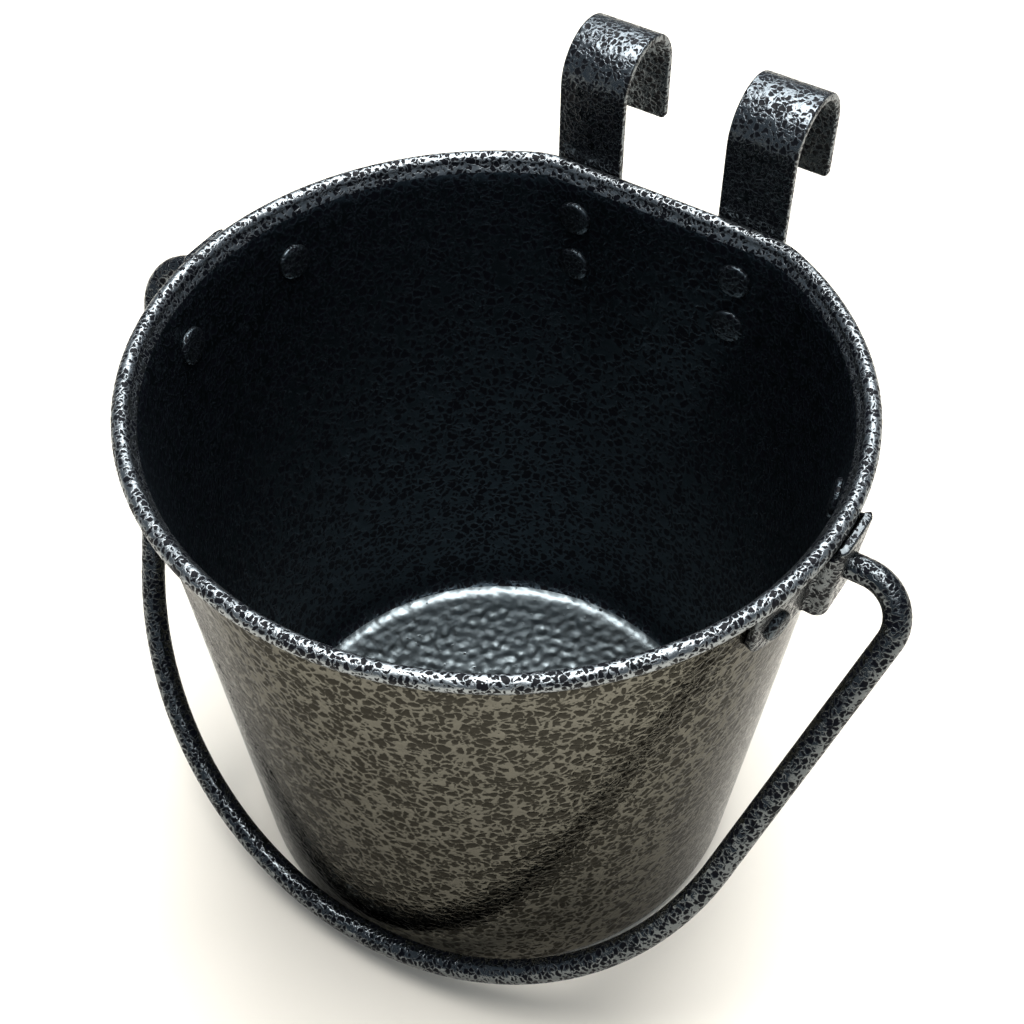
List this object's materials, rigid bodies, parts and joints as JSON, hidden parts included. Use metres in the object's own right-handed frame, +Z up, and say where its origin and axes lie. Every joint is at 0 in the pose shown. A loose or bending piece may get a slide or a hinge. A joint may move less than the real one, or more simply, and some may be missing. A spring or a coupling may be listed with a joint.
{
  "type": "feed bucket",
  "caption": "Flat-backed stable feed bucket with two hook-over straps that hang it on a board or rail, and a swinging wire bail.",
  "frame": {"origin": "centre of the base's flat underside, on the ground", "axes": "+Z up, +Y out of the flat back where the hooks are, X along the bail's hinge axis"},
  "size_m": [0.2006, 0.1826, 0.178],
  "materials": {
    "bucket_finish": "gloss hammered enamel, charcoal with a fine silver network",
    "hook_finish": "gloss hammered enamel, charcoal with a fine silver network",
    "ear_finish": "gloss hammered enamel, charcoal with a fine silver network",
    "bail_finish": "gloss hammered enamel, near black with silver flecks",
    "rivet_finish": "gloss hammered enamel, charcoal with silver flecks"
  },
  "bodies": {
    "bucket": {"pail_body": "bucket_finish", "left_ear": "ear_finish", "right_ear": "ear_finish", "left_hook": "hook_finish", "right_hook": "hook_finish", "left_ear_rivet_front": "rivet_finish", "left_ear_rivet_rear": "rivet_finish", "right_ear_rivet_front": "rivet_finish", "right_ear_rivet_rear": "rivet_finish", "left_hook_rivet_upper": "rivet_finish", "left_hook_rivet_lower": "rivet_finish", "right_hook_rivet_upper": "rivet_finish", "right_hook_rivet_lower": "rivet_finish"},
    "bail": {"bail_handle": "bail_finish"}
  },
  "joints": [
    {"name": "bail_swing", "type": "hinge", "parent": "bucket", "child": "bail", "pos_m": [0, 0.0026, 0.135], "axis": [-1, 0, 0], "range_deg": [0, 302]}
  ]
}
